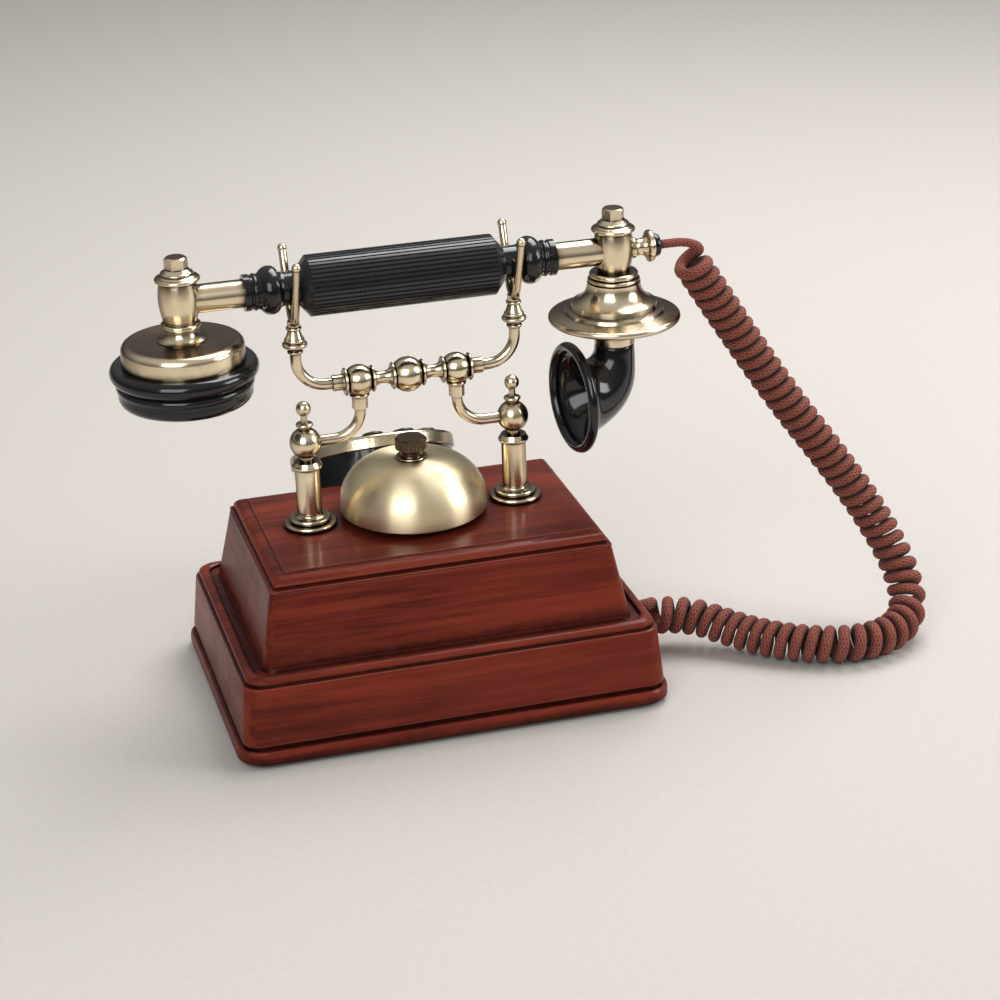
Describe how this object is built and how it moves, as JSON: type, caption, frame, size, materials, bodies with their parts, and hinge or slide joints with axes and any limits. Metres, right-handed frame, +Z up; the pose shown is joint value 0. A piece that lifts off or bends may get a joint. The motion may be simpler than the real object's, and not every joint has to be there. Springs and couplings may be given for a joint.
{
  "type": "cradle telephone",
  "caption": "French-style cradle telephone on a stepped wooden base: sprung cradle, lift-off handset with horn mouthpiece, brass bell and a round dial of push keys",
  "frame": {"origin": "middle of the felt pad under the base, on the table", "axes": "+X along the handset to the mouthpiece, +Y out of the dial side, +Z up"},
  "size_m": [0.353, 0.1883, 0.2036],
  "materials": {
    "lacquered_wood": "red-brown lacquer, satin to gloss",
    "antique_brass": "antique brass, brushed and polished",
    "black_gloss": "polished black",
    "steel": "plain steel",
    "dark_plastic": "matt moulded",
    "key_cap": "polished black with cream figures",
    "felt": "dark felt",
    "copper_coil": "enamelled wire",
    "circuit": "printed board",
    "rubber": "matt",
    "cord_cloth": "braided cloth over wire"
  },
  "bodies": {
    "base": {"lower_case": "lacquered_wood", "upper_case": "lacquered_wood", "top_board": "lacquered_wood", "bottom_cover": "dark_plastic", "felt_pad": "felt", "case_fasteners": "steel", "posts": "antique_brass", "gong": "antique_brass", "gong_post": "steel", "gong_washer": "steel", "gong_nut": "black_gloss", "ringer_yoke": "steel", "ringer_coil": "copper_coil", "dial_cup": "black_gloss", "dial_bezel": "antique_brass", "dial_face": "black_gloss", "dial_centre": "antique_brass", "key_board": "circuit", "circuit_board": "circuit", "hook_switch": "dark_plastic", "hook_spring": "steel", "cord_boot": "rubber", "line_jack": "dark_plastic", "curly_cord": "cord_cloth", "handset_cord_tail": "cord_cloth", "base_cord_tail": "cord_cloth"},
    "cradle": {"cradle_bar": "antique_brass", "support_arms": "antique_brass", "fork_arms": "antique_brass", "left_fork": "antique_brass", "right_fork": "antique_brass", "left_post_ball": "antique_brass", "right_post_ball": "antique_brass"},
    "handset": {"handset_tube": "antique_brass", "grip": "black_gloss", "ferrules": "black_gloss", "receiver_hub": "antique_brass", "receiver_cup": "antique_brass", "receiver_cap": "black_gloss", "receiver_capsule": "dark_plastic", "transmitter_hub": "antique_brass", "transmitter_bell": "antique_brass", "mouthpiece_horn": "black_gloss", "microphone_capsule": "dark_plastic", "hub_nuts": "antique_brass", "cord_gland": "antique_brass"},
    "bell_striker": {"bell_striker": "steel"},
    "hook_lever": {"hook_lever": "steel"},
    "key_1": {"key_1": "key_cap"},
    "key_2": {"key_2": "key_cap"},
    "key_3": {"key_3": "key_cap"},
    "key_4": {"key_4": "key_cap"},
    "key_5": {"key_5": "key_cap"},
    "key_6": {"key_6": "key_cap"},
    "key_7": {"key_7": "key_cap"},
    "key_8": {"key_8": "key_cap"},
    "key_9": {"key_9": "key_cap"},
    "key_star": {"key_star": "key_cap"},
    "key_0": {"key_0": "key_cap"},
    "key_hash": {"key_hash": "key_cap"}
  },
  "joints": [
    {"name": "cradle_slide", "type": "slide", "parent": "base", "child": "cradle", "axis": [0, 0, 1], "range_m": [0, 0.004], "stiffness_N_per_m": 300, "springref_m": 0.01, "deforming": ["hook_spring"]},
    {"name": "handset_lift", "type": "slide", "parent": "cradle", "child": "handset", "axis": [0, 0, 1], "range_m": [0, 0.06], "deforming": ["curly_cord", "handset_cord_tail", "base_cord_tail"]},
    {"name": "striker_swing", "type": "hinge", "parent": "base", "child": "bell_striker", "pos_m": [0.01, 0.004, 0.058], "axis": [0, 1, 0], "range_deg": [-3.5, 3.5], "stiffness_Nm_per_rad": 0.02},
    {"name": "hook_lever_turn", "type": "hinge", "parent": "base", "child": "hook_lever", "pos_m": [0.0321, 0.004, 0.0555], "axis": [0, -1, 0], "range_deg": [0, 17]},
    {"name": "key_1_press", "type": "slide", "parent": "base", "child": "key_1", "axis": [0, -0.5, -0.866], "range_m": [0, 0.0015], "stiffness_N_per_m": 400, "springref_m": -0.001},
    {"name": "key_2_press", "type": "slide", "parent": "base", "child": "key_2", "axis": [0, -0.5, -0.866], "range_m": [0, 0.0015], "stiffness_N_per_m": 400, "springref_m": -0.001},
    {"name": "key_3_press", "type": "slide", "parent": "base", "child": "key_3", "axis": [0, -0.5, -0.866], "range_m": [0, 0.0015], "stiffness_N_per_m": 400, "springref_m": -0.001},
    {"name": "key_4_press", "type": "slide", "parent": "base", "child": "key_4", "axis": [0, -0.5, -0.866], "range_m": [0, 0.0015], "stiffness_N_per_m": 400, "springref_m": -0.001},
    {"name": "key_5_press", "type": "slide", "parent": "base", "child": "key_5", "axis": [0, -0.5, -0.866], "range_m": [0, 0.0015], "stiffness_N_per_m": 400, "springref_m": -0.001},
    {"name": "key_6_press", "type": "slide", "parent": "base", "child": "key_6", "axis": [0, -0.5, -0.866], "range_m": [0, 0.0015], "stiffness_N_per_m": 400, "springref_m": -0.001},
    {"name": "key_7_press", "type": "slide", "parent": "base", "child": "key_7", "axis": [0, -0.5, -0.866], "range_m": [0, 0.0015], "stiffness_N_per_m": 400, "springref_m": -0.001},
    {"name": "key_8_press", "type": "slide", "parent": "base", "child": "key_8", "axis": [0, -0.5, -0.866], "range_m": [0, 0.0015], "stiffness_N_per_m": 400, "springref_m": -0.001},
    {"name": "key_9_press", "type": "slide", "parent": "base", "child": "key_9", "axis": [0, -0.5, -0.866], "range_m": [0, 0.0015], "stiffness_N_per_m": 400, "springref_m": -0.001},
    {"name": "key_star_press", "type": "slide", "parent": "base", "child": "key_star", "axis": [0, -0.5, -0.866], "range_m": [0, 0.0015], "stiffness_N_per_m": 400, "springref_m": -0.001},
    {"name": "key_0_press", "type": "slide", "parent": "base", "child": "key_0", "axis": [0, -0.5, -0.866], "range_m": [0, 0.0015], "stiffness_N_per_m": 400, "springref_m": -0.001},
    {"name": "key_hash_press", "type": "slide", "parent": "base", "child": "key_hash", "axis": [0, -0.5, -0.866], "range_m": [0, 0.0015], "stiffness_N_per_m": 400, "springref_m": -0.001}
  ],
  "couplings": [
    {"joint": "hook_lever_turn", "follows": "cradle_slide", "rad_per_m": 71.43}
  ]
}
